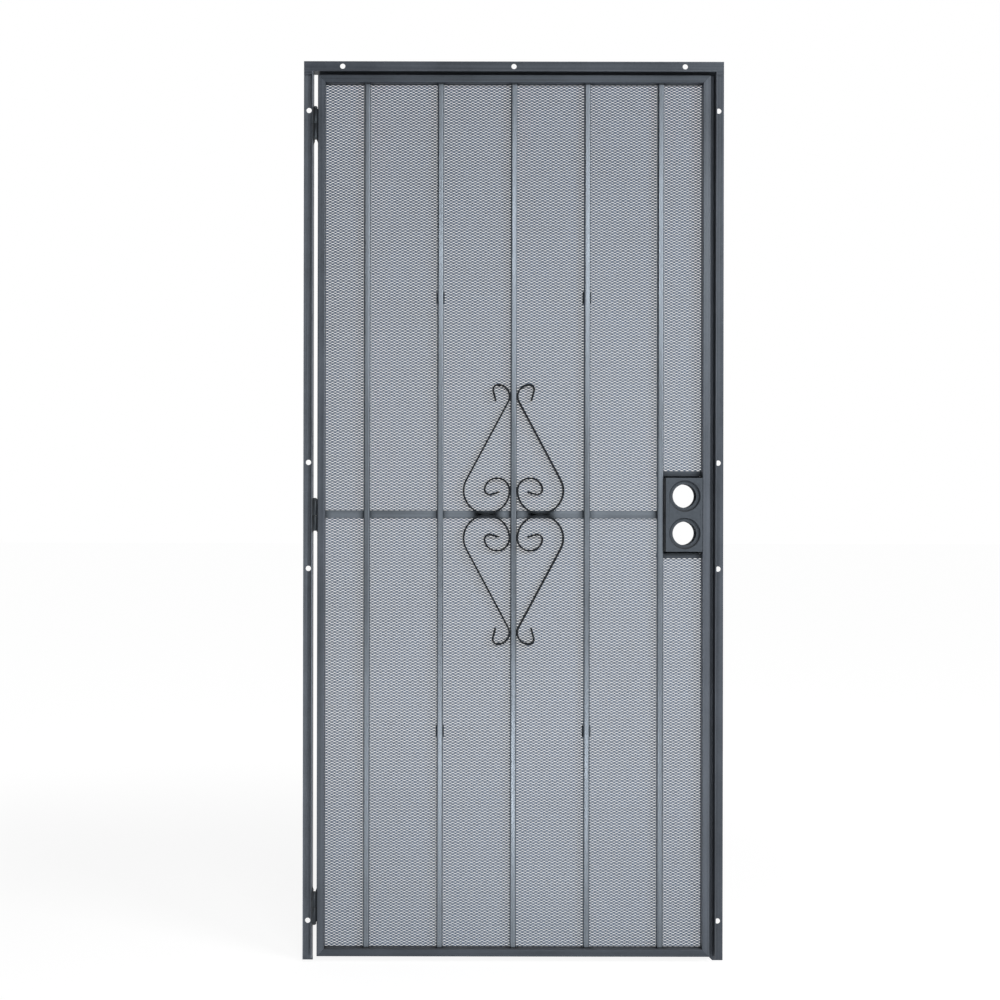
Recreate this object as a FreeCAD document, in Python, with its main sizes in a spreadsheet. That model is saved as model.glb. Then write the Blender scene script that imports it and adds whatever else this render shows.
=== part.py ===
import FreeCAD, Part
import math
import os
import Sketcher

# Steel security screen door: a surface-mounted frame of folded sheet and an outswinging leaf of square
# tube with upright bars, four scrolls, a double-bore lock box and an expanded metal screen.
# +X runs from the hinge side to the latch side, +Y into the wall and +Z up. The origin is on the back
# face of the hinge jamb's flange, on its centre line at the foot. All sizes are in millimetres.

SIZES = [
    ("frame_height", 2076.5, "foot of the jambs to the top of the header"),
    ("sheet", 1.5, "sheet of the frame"),
    ("flange_width", 24, "jamb's outer edge to the inner face of its stem"),
    ("header_flange", 31.5, "header's top edge to the underside of its stem"),
    ("stem_depth", 30, "wall to the front edge of the stems"),
    ("stem_thickness", 3, "stem, folded double"),
    ("latch_stop", 22, "reach of the stop behind the latch stile"),
    ("header_stop", 20, "reach of the stop behind the top rail"),
    ("stem_foot", 12.5, "floor to the foot of the jambs' stems"),
    ("cope_gap", 0.5, "gap at the ends of the header's stop"),
    ("screw_hole", 12.2, "diameter of the screw holes"),
    ("header_hole_drop", 11.5, "screw holes below the header's top edge"),
    ("header_hole_end", 89.5, "outer screw holes of the header from its ends"),
    ("jamb_hole_end", 73.7, "outer screw holes of the jambs from the leaf's ends"),
    ("jamb_hole_inner", 122.5, "inner screw holes above and below the leaf's middle"),
    ("leaf_width", 900, "leaf over the stiles"),
    ("leaf_depth", 25.4, "leaf from front to back"),
    ("stop_gap", 5, "leaf's back to the front of the stops"),
    ("latch_gap", 12, "latch stile to the latch jamb's stem"),
    ("head_gap", 8.8, "top rail to the underside of the header's stem"),
    ("sill_gap", 16.8, "floor to the underside of the bottom rail"),
    ("tube_face", 17.5, "face of the leaf's tube"),
    ("tube_wall", 1.2, "wall of the leaf's tube"),
    ("tube_corner", 2, "outer corner radius of the leaf's tube"),
    ("bar_width", 14.3, "side of the square bars"),
    ("bar_setback", 5.8, "front of the leaf to the front of the bars"),
    ("flat_thickness", 3, "flat bar of the crossbar and beside the lock box"),
    ("crossbar_height", 19, "face of the crossbar"),
    ("crossbar_rise", 3, "middle of the crossbar above the leaf's middle"),
    ("screen_thickness", 1.5, "sheet that stands for the expanded metal"),
    ("strip", 4, "thickness of the scroll strip"),
    ("loop_radius", 52.7, "scroll's large loop, on the middle of the strip"),
    ("coil_radius", 28.8, "scroll's inner coil"),
    ("curl_radius", 12, "scroll's innermost curl"),
    ("curl_rise", 3, "centre of the curl above the centre of the loop"),
    ("curl_end", -107, "direction of the curl's end from its centre, in degrees"),
    ("curl_tail", 18, "straight end inside the curl"),
    ("hook_radius", 26.6, "outside of the scroll's end hook"),
    ("hook_height", 271.6, "centre of the hook above the crossbar"),
    ("tip_radius", 11.5, "turn at the end of the hook"),
    ("tip_end", -15, "direction of the turn's end from its centre, in degrees"),
    ("hook_tail", 22, "straight end of the hook"),
    ("lock_height", 169.4, "lock box, top to bottom"),
    ("lock_width", 84.1, "lock box, from side to side"),
    ("lock_depth", 41, "lock box, front to back"),
    ("cover_rim", 8, "reach of the lock box's cover beyond the box"),
    ("lock_side_gap", 4.25, "lock box to the last upright bar"),
    ("lock_sheet", 1.5, "sheet of the lock box"),
    ("bore", 54, "diameter of the lock bores"),
    ("backset", 40.5, "latch stile's inner face to the middle of the bores"),
    ("bore_pitch", 85.7, "between the lock bores"),
    ("dish", 75, "outer diameter of the recess round a bore"),
    ("dish_depth", 6, "depth of the recess round a bore"),
    ("dish_slope", 3, "reach of the sloping wall of the recess"),
    ("bolt_slot_height", 30, "slots for the bolts in the lock box and the latch stile"),
    ("bolt_slot_depth", 14, "front to back of the bolt slots"),
    ("lock_flat_height", 12, "flats above and below the lock box"),
    ("lock_flat_gap", 4, "lock box to the flats above and below it"),
    ("hinge_length", 70, "hinge barrel without the pin's head"),
    ("hinge_end", 114, "middle of the outer hinges from the leaf's ends"),
    ("barrel", 10, "diameter of the hinge barrel"),
    ("barrel_gap", 0.5, "hinge barrel to the stem and to the hinge stile"),
    ("axis_proud", 2.1, "hinge axis in front of the leaf's front"),
    ("pin", 5, "diameter of the hinge pin"),
    ("pin_clearance", 0.05, "radial clearance of the hinge pin"),
    ("knuckle_gap", 0.6, "between the two knuckles, and under the pin's head"),
    ("pin_head", 5, "height of the pin's head"),
    ("pin_chamfer", 1.6, "chamfer of the pin's head"),
    ("hinge_plate", 2.5, "thickness of the hinge plates"),
    ("hinge_plate_tail", 6.5, "length of the tapered ends of the hinge plates"),
    ("hinge_plate_depth", 18, "hinge plates, front to back"),
    ("hinge_plate_setback", 5, "hinge axis to the front of the plates"),
    ("clip_height", 25, "screen clips, top to bottom"),
    ("clip_sheet", 2, "sheet of the screen clips"),
    ("clip_spread", 499, "screen clips above and below the crossbar"),
    ("clip_gap", 0.3, "clip to the bar and the screen"),
]

doc = FreeCAD.newDocument("SecurityScreenDoor")
dim = doc.addObject("Spreadsheet::Sheet", "dim")
for row, (alias, size, meaning) in enumerate(SIZES, start=1):
    dim.set(f"A{row}", meaning)
    dim.set(f"B{row}", str(size))
    dim.setAlias(f"B{row}", alias)
doc.recompute()

# Places worked out from the sizes, as expressions.
FLANGE_EDGE = "-dim.flange_width / 2"
HINGE_STEM = "dim.flange_width / 2"
HINGE_GAP = "(dim.barrel + 2 * dim.barrel_gap)"
LEAF_LEFT = f"({HINGE_STEM} + {HINGE_GAP})"
LEAF_RIGHT = f"({LEAF_LEFT} + dim.leaf_width)"
LEAF_CENTRE = f"({LEAF_LEFT} + dim.leaf_width / 2)"
LATCH_STEM = f"({LEAF_RIGHT} + dim.latch_gap)"
LATCH_EDGE = f"({LATCH_STEM} + dim.flange_width)"
STEM_UNDERSIDE = "(dim.frame_height - dim.header_flange)"
LEAF_FOOT = "dim.sill_gap"
LEAF_TOP = f"({STEM_UNDERSIDE} - dim.head_gap)"
LEAF_MIDDLE = f"(({LEAF_FOOT} + {LEAF_TOP}) / 2)"
LEAF_BACK = "(-dim.sheet - dim.stop_gap)"
LEAF_FRONT = f"({LEAF_BACK} - dim.leaf_depth)"
BAR_FRONT = f"({LEAF_FRONT} + dim.bar_setback)"
BAR_BACK = f"({BAR_FRONT} + dim.bar_width)"
FLAT_BACK = f"({BAR_BACK} + dim.flat_thickness)"
SCREEN_BACK = f"({FLAT_BACK} + dim.screen_thickness)"
INNER_LEFT = f"({LEAF_LEFT} + dim.tube_face)"
INNER_RIGHT = f"({LEAF_RIGHT} - dim.tube_face)"
INNER_FOOT = f"({LEAF_FOOT} + dim.tube_face)"
INNER_TOP = f"({LEAF_TOP} - dim.tube_face)"
CROSSBAR_MIDDLE = f"({LEAF_MIDDLE} + dim.crossbar_rise)"
LOCK_LEFT = f"({INNER_RIGHT} - dim.lock_width)"
LAST_BAR = f"({LOCK_LEFT} - dim.lock_side_gap - dim.bar_width / 2)"
BAR_PITCH = f"(({LAST_BAR} - {LEAF_CENTRE}) / 2)"
LOCK_FOOT = f"({CROSSBAR_MIDDLE} - dim.lock_height / 2)"
LOCK_TOP = f"({CROSSBAR_MIDDLE} + dim.lock_height / 2)"
LOCK_BACK = f"({LEAF_FRONT} + dim.lock_depth)"
BOLT_DEPTH = f"({LEAF_FRONT} + dim.leaf_depth / 2)"
BORE_CENTRE = f"({INNER_RIGHT} - dim.backset)"
AXIS_X = f"({HINGE_STEM} + {HINGE_GAP} / 2)"
AXIS_Y = f"({LEAF_FRONT} - dim.axis_proud)"

# The stems are folded double, so their front edges are all but half round.
FOLD_RADIUS = "(0.48 * dim.stem_thickness)"

parts = {}


def value(expression):
    """The number that an expression gives with the sizes of the sheet."""
    return float(dim.evalExpression(expression))


def publish(name, feature):
    """Give a finished sub-part the label that names its file."""
    feature.Label = name
    parts[name] = feature
    return feature


def new_body(name):
    return doc.addObject("PartDesign::Body", f"{name}_body")


def new_sketch(body, name, plane_role):
    """An empty sketch on one of the body's own origin planes."""
    sketch = body.newObject("Sketcher::SketchObject", name)
    plane = next(f for f in body.Origin.OriginFeatures if f.Role == plane_role)
    sketch.AttachmentSupport = [(plane, "")]
    sketch.MapMode = "FlatFace"
    return sketch


def bind(sketch, kind, arguments, expression):
    """Add a driving constraint whose value is an expression."""
    index = sketch.addConstraint(Sketcher.Constraint(kind, *arguments, value(expression)))
    sketch.setExpression(f"Constraints[{index}]", expression)


def pin_point(sketch, geometry, point, across, up):
    """Hold a point of a sketch at two coordinates."""
    bind(sketch, "DistanceX", (-1, 1, geometry, point), across)
    bind(sketch, "DistanceY", (-1, 1, geometry, point), up)


def add_outline(sketch, corners):
    """A closed outline of straight lines through corners given as pairs of expressions."""
    points = [FreeCAD.Vector(value(across), value(up), 0) for across, up in corners]
    first = len(sketch.Geometry)
    count = len(points)
    for i in range(count):
        sketch.addGeometry(Part.LineSegment(points[i], points[(i + 1) % count]))
    for i in range(count):
        sketch.addConstraint(Sketcher.Constraint("Coincident", first + i, 2, first + (i + 1) % count, 1))
    for i, (across, up) in enumerate(corners):
        pin_point(sketch, first + i, 1, across, up)


def rectangle(left, right, low, high):
    return [(left, low), (right, low), (right, high), (left, high)]


def add_circle(sketch, across, up, diameter):
    centre = FreeCAD.Vector(value(across), value(up), 0)
    circle = sketch.addGeometry(Part.Circle(centre, FreeCAD.Vector(0, 0, 1), value(diameter) / 2))
    bind(sketch, "Diameter", (circle,), diameter)
    pin_point(sketch, circle, 3, across, up)


def pad(body, sketch, length, reversed_way=False):
    feature = body.newObject("PartDesign::Pad", f"{sketch.Name}_pad")
    feature.Profile = sketch
    feature.setExpression("Length", length)
    feature.Reversed = reversed_way
    doc.recompute()
    return feature


def cut_through(body, sketch):
    """Cut a sketch right through the body, both ways from its plane."""
    before = body.Shape.Volume
    feature = body.newObject("PartDesign::Pocket", f"{sketch.Name}_cut")
    feature.Profile = sketch
    feature.Type = "ThroughAll"
    feature.SideType = "Symmetric"
    doc.recompute()
    if not body.Shape.Volume < before - 1e-6:
        raise RuntimeError(f"{sketch.Name} cuts nothing")
    return feature


def box(name, low, high):
    """A plain block between two corners given as triples of expressions."""
    block = doc.addObject("Part::Box", name)
    for size, axis, start, end in zip(("Length", "Width", "Height"), "xyz", low, high):
        block.setExpression(size, f"{end} - ({start})")
        block.setExpression(f"Placement.Base.{axis}", start)
    return block


def cylinder(name, diameter, low, length):
    """An upright cylinder on a foot given as a triple of expressions."""
    rod = doc.addObject("Part::Cylinder", name)
    rod.setExpression("Radius", f"({diameter}) / 2")
    rod.setExpression("Height", length)
    for axis, place in zip("xyz", low):
        rod.setExpression(f"Placement.Base.{axis}", place)
    return rod


def cut(name, base, tool):
    feature = doc.addObject("Part::Cut", name)
    feature.Base = base
    feature.Tool = tool
    return feature


def fuse(name, shapes):
    feature = doc.addObject("Part::MultiFuse", name)
    feature.Shapes = shapes
    feature.Refine = True
    return feature


def round_fold(body):
    """Round the two long front edges of a stem."""
    solid = body.Tip
    edges = solid.Shape.Edges
    front = min(edge.BoundBox.YMax for edge in edges)
    longest = max(edge.Length for edge in edges)
    fold = [f"Edge{i}" for i, edge in enumerate(edges, start=1)
            if edge.BoundBox.YMax < front + value(FOLD_RADIUS) and edge.Length > longest / 2]
    rounded = body.newObject("PartDesign::Fillet", f"{body.Name}_fold")
    rounded.Base = (solid, fold)
    rounded.setExpression("Radius", FOLD_RADIUS)
    doc.recompute()


def make_header():
    """T section over both jambs, its stem cut back to theirs and its stop to fit behind the leaf."""
    body = new_body("header")
    section = new_sketch(body, "header_section", "YZ_Plane")
    stem_top = f"({STEM_UNDERSIDE} + dim.stem_thickness)"
    stop_edge = f"({STEM_UNDERSIDE} - dim.header_stop)"
    add_outline(section, [
        ("0", stop_edge), ("0", "dim.frame_height"), ("-dim.sheet", "dim.frame_height"),
        ("-dim.sheet", stem_top), ("-dim.stem_depth", stem_top), ("-dim.stem_depth", STEM_UNDERSIDE),
        ("-dim.sheet", STEM_UNDERSIDE), ("-dim.sheet", stop_edge),
    ])
    pad(body, section, f"{LATCH_EDGE} - ({FLANGE_EDGE})")
    section.setExpression("AttachmentOffset.Base.z", FLANGE_EDGE)
    doc.recompute()
    round_fold(body)
    copes = new_sketch(body, "header_copes", "XZ_Plane")
    low = f"({stop_edge} - dim.header_stop)"
    beyond_left, beyond_right = f"({FLANGE_EDGE} - dim.flange_width)", f"({LATCH_EDGE} + dim.flange_width)"
    add_outline(copes, rectangle(beyond_left, f"({LEAF_LEFT} + dim.cope_gap)", low, STEM_UNDERSIDE))
    add_outline(copes, rectangle(f"({LATCH_STEM} - dim.latch_stop - dim.cope_gap)", beyond_right,
                                 low, STEM_UNDERSIDE))
    cut_through(body, copes)
    ends = new_sketch(body, "header_stem_ends", "XY_Plane")
    for left, right in ((beyond_left, f"({HINGE_STEM} - dim.stem_thickness)"),
                        (f"({LATCH_STEM} + dim.stem_thickness)", beyond_right)):
        add_outline(ends, rectangle(left, right, "-2 * dim.stem_depth", "-dim.sheet"))
    cut_through(body, ends)
    holes = new_sketch(body, "header_holes", "XZ_Plane")
    for across in (f"{FLANGE_EDGE} + dim.header_hole_end", f"({LATCH_EDGE} + {FLANGE_EDGE}) / 2",
                   f"{LATCH_EDGE} - dim.header_hole_end"):
        add_circle(holes, across, "dim.frame_height - dim.header_hole_drop", "dim.screw_hole")
    cut_through(body, holes)
    return publish("header", body)


def add_jamb_holes(body, name, across):
    """Four screw holes, two near the leaf's ends and two about its middle."""
    holes = new_sketch(body, name, "XZ_Plane")
    for up in (f"{LEAF_FOOT} + dim.jamb_hole_end", f"{LEAF_MIDDLE} - dim.jamb_hole_inner",
               f"{LEAF_MIDDLE} + dim.jamb_hole_inner", f"{LEAF_TOP} - dim.jamb_hole_end"):
        add_circle(holes, across, up, "dim.screw_hole")
    cut_through(body, holes)


def cut_stem_foot(body, name):
    """Cut a jamb's stem short at the foot, in front of its flange."""
    foot = new_sketch(body, name, "YZ_Plane")
    add_outline(foot, rectangle("-2 * dim.stem_depth", "-dim.sheet", "-dim.stem_foot", "dim.stem_foot"))
    cut_through(body, foot)


def make_hinge_jamb():
    """Angle section, flange to the wall and stem beside the hinges."""
    body = new_body("hinge_jamb")
    section = new_sketch(body, "hinge_jamb_section", "XY_Plane")
    stem_outside = f"({HINGE_STEM} - dim.stem_thickness)"
    add_outline(section, [
        (FLANGE_EDGE, "0"), (FLANGE_EDGE, "-dim.sheet"), (stem_outside, "-dim.sheet"),
        (stem_outside, "-dim.stem_depth"), (HINGE_STEM, "-dim.stem_depth"), (HINGE_STEM, "0"),
    ])
    pad(body, section, STEM_UNDERSIDE)
    round_fold(body)
    cut_stem_foot(body, "hinge_stem_foot")
    add_jamb_holes(body, "hinge_jamb_holes", "0")
    return publish("hinge_jamb", body)


def make_latch_jamb():
    """T section whose inner leg is the stop, mitred at the foot."""
    body = new_body("latch_jamb")
    section = new_sketch(body, "latch_jamb_section", "XY_Plane")
    stem_outside = f"({LATCH_STEM} + dim.stem_thickness)"
    stop_edge = f"({LATCH_STEM} - dim.latch_stop)"
    add_outline(section, [
        (stop_edge, "0"), (stop_edge, "-dim.sheet"), (LATCH_STEM, "-dim.sheet"),
        (LATCH_STEM, "-dim.stem_depth"), (stem_outside, "-dim.stem_depth"), (stem_outside, "-dim.sheet"),
        (LATCH_EDGE, "-dim.sheet"), (LATCH_EDGE, "0"),
    ])
    pad(body, section, STEM_UNDERSIDE)
    round_fold(body)
    cut_stem_foot(body, "latch_stem_foot")
    mitre = new_sketch(body, "latch_stop_mitre", "XZ_Plane")
    beyond = f"({stop_edge} - dim.latch_stop)"
    add_outline(mitre, [(beyond, "-dim.latch_stop"), (f"{LATCH_STEM} + dim.latch_stop", "-dim.latch_stop"),
                        (beyond, "2 * dim.latch_stop")])
    cut_through(body, mitre)
    add_jamb_holes(body, "latch_jamb_holes", f"{LATCH_EDGE} - dim.flange_width / 2")
    return publish("latch_jamb", body)


def add_bolt_slots(sketch):
    """Two slots for the bolts, in a sketch across the door."""
    for side in (-1, 1):
        middle = f"({CROSSBAR_MIDDLE} + {side} * dim.bore_pitch / 2)"
        add_outline(sketch, rectangle(
            f"{BOLT_DEPTH} - dim.bolt_slot_depth / 2", f"{BOLT_DEPTH} + dim.bolt_slot_depth / 2",
            f"{middle} - dim.bolt_slot_height / 2", f"{middle} + dim.bolt_slot_height / 2"))


def make_tube(name, corners, hollow_plane, hollow):
    """A mitred length of tube: its face outlined on the front, then hollowed along its length."""
    body = new_body(name)
    face = new_sketch(body, f"{name}_face", "XZ_Plane")
    add_outline(face, corners)
    pad(body, face, "dim.leaf_depth")
    face.setExpression("AttachmentOffset.Base.z", f"-{LEAF_BACK}")
    doc.recompute()
    solid = body.Tip
    longest = max(edge.Length for edge in solid.Shape.Edges)
    long_edges = [f"Edge{i}" for i, edge in enumerate(solid.Shape.Edges, start=1)
                  if edge.Length > longest / 2]
    rounded = body.newObject("PartDesign::Fillet", f"{name}_corners")
    rounded.Base = (solid, long_edges)
    rounded.setExpression("Radius", "dim.tube_corner")
    doc.recompute()
    inside = new_sketch(body, f"{name}_inside", hollow_plane)
    add_outline(inside, hollow)
    cut_through(body, inside)
    return publish(name, body)


def make_leaf_tubes():
    """Two stiles and two rails, mitred where they meet."""
    hollow_front = f"({LEAF_FRONT} + dim.tube_wall)"
    hollow_back = f"({LEAF_BACK} - dim.tube_wall)"
    for name, outer, inner in (("hinge_stile", LEAF_LEFT, INNER_LEFT),
                               ("latch_stile", LEAF_RIGHT, INNER_RIGHT)):
        step = f"(dim.tube_wall * {1 if name == 'hinge_stile' else -1})"
        make_tube(name, [(outer, LEAF_FOOT), (inner, INNER_FOOT), (inner, INNER_TOP), (outer, LEAF_TOP)],
                  "XY_Plane", rectangle(f"{outer} + {step}", f"{inner} - {step}", hollow_front, hollow_back))
    for name, outer, inner in (("top_rail", LEAF_TOP, INNER_TOP), ("bottom_rail", LEAF_FOOT, INNER_FOOT)):
        step = f"(dim.tube_wall * {1 if name == 'bottom_rail' else -1})"
        make_tube(name, [(LEAF_LEFT, outer), (LEAF_RIGHT, outer), (INNER_RIGHT, inner), (INNER_LEFT, inner)],
                  "YZ_Plane", rectangle(hollow_front, hollow_back, f"{outer} + {step}", f"{inner} - {step}"))
    stile = parts["latch_stile"]
    slots = new_sketch(stile, "latch_stile_slots", "YZ_Plane")
    add_bolt_slots(slots)
    cut_through(stile, slots)


def make_bars():
    """Five upright bars between the rails, and the flat crossbar behind them."""
    for number in range(1, 6):
        middle = f"({LEAF_CENTRE} + {number - 3} * {BAR_PITCH})"
        publish(f"bar_{number}", box(
            f"bar_{number}_block",
            (f"{middle} - dim.bar_width / 2", BAR_FRONT, INNER_FOOT),
            (f"{middle} + dim.bar_width / 2", BAR_BACK, INNER_TOP)))
    publish("crossbar", box(
        "crossbar_block",
        (INNER_LEFT, BAR_BACK, f"{CROSSBAR_MIDDLE} - dim.crossbar_height / 2"),
        (f"{LAST_BAR} + dim.bar_width / 2", FLAT_BACK, f"{CROSSBAR_MIDDLE} + dim.crossbar_height / 2")))


def scroll_path(body, name):
    """The middle line of one scroll, from its innermost end to the end of its hook.

    It lies on the plane of the bars, up and to the right of the point where the middle bar crosses
    the crossbar. The large loop, the coil inside it and the hook all touch the side of that bar.
    """
    sketch = new_sketch(body, name, "XZ_Plane")
    touch = "(dim.bar_width / 2 + dim.strip / 2)"
    base = value("dim.loop_radius + dim.strip / 2")
    left = value(touch)
    loop, coil, curl = value("dim.loop_radius"), value("dim.coil_radius"), value("dim.curl_radius")
    hook, tip = value("dim.hook_radius"), value("dim.tip_radius")
    hook_height = value("dim.hook_height")
    up = FreeCAD.Vector(0, 0, 1)

    def at(across, along):
        return FreeCAD.Vector(across, along, 0)

    def on(centre, radius, angle):
        return centre + at(radius * math.cos(angle), radius * math.sin(angle))

    def arc(centre, radius, start, end):
        """An arc that runs anticlockwise between two angles."""
        return sketch.addGeometry(Part.ArcOfCircle(Part.Circle(centre, up, radius), start, end))

    def line(start, end):
        return sketch.addGeometry(Part.LineSegment(start, end))

    loop_centre = at(left + loop, base)
    coil_centre = at(left + coil, base)
    turn = math.asin(value("dim.curl_rise") / (coil - curl))
    curl_centre = on(coil_centre, coil - curl, turn)
    curl_end = math.radians(value("dim.curl_end"))
    tail_way = curl_end - math.pi / 2
    hook_centre = at(left + hook, hook_height)
    tip_centre = at(left + hook, hook_height + hook - tip)
    between = hook_centre - loop_centre
    slope = math.atan2(between.y, between.x) - math.acos((loop + hook) / between.Length)
    tip_end = math.radians(value("dim.tip_end"))

    inner_tail = line(on(on(curl_centre, curl, curl_end), value("dim.curl_tail"), tail_way),
                      on(curl_centre, curl, curl_end))
    curl_arc = arc(curl_centre, curl, curl_end, turn)
    coil_arc = arc(coil_centre, coil, turn, math.pi)
    loop_arc = arc(loop_centre, loop, math.pi, 2 * math.pi + slope)
    straight = line(on(loop_centre, loop, slope), on(hook_centre, hook, slope + math.pi))
    hook_arc = arc(hook_centre, hook, math.pi / 2, slope + math.pi)
    tip_arc = arc(tip_centre, tip, tip_end, math.pi / 2)
    outer_tail = line(on(tip_centre, tip, tip_end),
                      on(on(tip_centre, tip, tip_end), value("dim.hook_tail"), tip_end - math.pi / 2))

    for one, one_end, two, two_end in (
            (inner_tail, 2, curl_arc, 1), (curl_arc, 2, coil_arc, 1), (coil_arc, 2, loop_arc, 1),
            (loop_arc, 2, straight, 1), (straight, 2, hook_arc, 2), (hook_arc, 1, tip_arc, 2),
            (tip_arc, 1, outer_tail, 1)):
        sketch.addConstraint(Sketcher.Constraint("Tangent", one, one_end, two, two_end))
    for geometry, radius in ((curl_arc, "curl"), (coil_arc, "coil"), (loop_arc, "loop"),
                             (hook_arc, "hook"), (tip_arc, "tip")):
        bind(sketch, "Radius", (geometry,), f"dim.{radius}_radius")
    loop_base = "(dim.loop_radius + dim.strip / 2)"
    pin_point(sketch, loop_arc, 3, f"{touch} + dim.loop_radius", loop_base)
    bind(sketch, "DistanceY", (-1, 1, coil_arc, 3), loop_base)
    bind(sketch, "DistanceY", (-1, 1, curl_arc, 3), f"{loop_base} + dim.curl_rise")
    pin_point(sketch, hook_arc, 3, f"{touch} + dim.hook_radius", "dim.hook_height")
    bind(sketch, "DistanceX", (-1, 1, tip_arc, 3), f"{touch} + dim.hook_radius")
    bind(sketch, "Distance", (inner_tail,), "dim.curl_tail")
    bind(sketch, "Distance", (outer_tail,), "dim.hook_tail")
    for tail, degrees in ((inner_tail, "(dim.curl_end + 90)"), (outer_tail, "(dim.tip_end - 90)")):
        index = sketch.addConstraint(Sketcher.Constraint("Angle", tail, math.radians(value(degrees))))
        sketch.setExpression(f"Constraints[{index}]", f"{degrees} * 1 deg")
    return sketch


def make_scrolls():
    """Four like scrolls, turned half round to face left, down, or both."""
    half_turn = {
        "upper_right": FreeCAD.Rotation(),
        "upper_left": FreeCAD.Rotation(FreeCAD.Vector(0, 0, 1), 180),
        "lower_right": FreeCAD.Rotation(FreeCAD.Vector(1, 0, 0), 180),
        "lower_left": FreeCAD.Rotation(FreeCAD.Vector(0, 1, 0), 180),
    }
    for place, rotation in half_turn.items():
        holder = new_body(f"scroll_{place}_path")
        path = scroll_path(holder, f"scroll_{place}_line")
        outline = doc.addObject("Part::Offset2D", f"scroll_{place}_outline")
        outline.Source = path
        outline.Fill = True
        outline.setExpression("Value", "dim.strip / 2")
        strip = doc.addObject("Part::Extrusion", f"scroll_{place}_strip")
        strip.Base = outline
        strip.DirMode = "Custom"
        strip.Dir = FreeCAD.Vector(0, 1, 0)
        strip.Solid = True
        strip.Symmetric = True
        strip.setExpression("LengthFwd", "dim.bar_width")
        strip.Placement = FreeCAD.Placement(FreeCAD.Vector(), rotation)
        strip.setExpression("Placement.Base.x", LEAF_CENTRE)
        strip.setExpression("Placement.Base.y", f"{BAR_FRONT} + dim.bar_width / 2")
        strip.setExpression("Placement.Base.z", CROSSBAR_MIDDLE)
        publish(f"scroll_{place}", strip)


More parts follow.
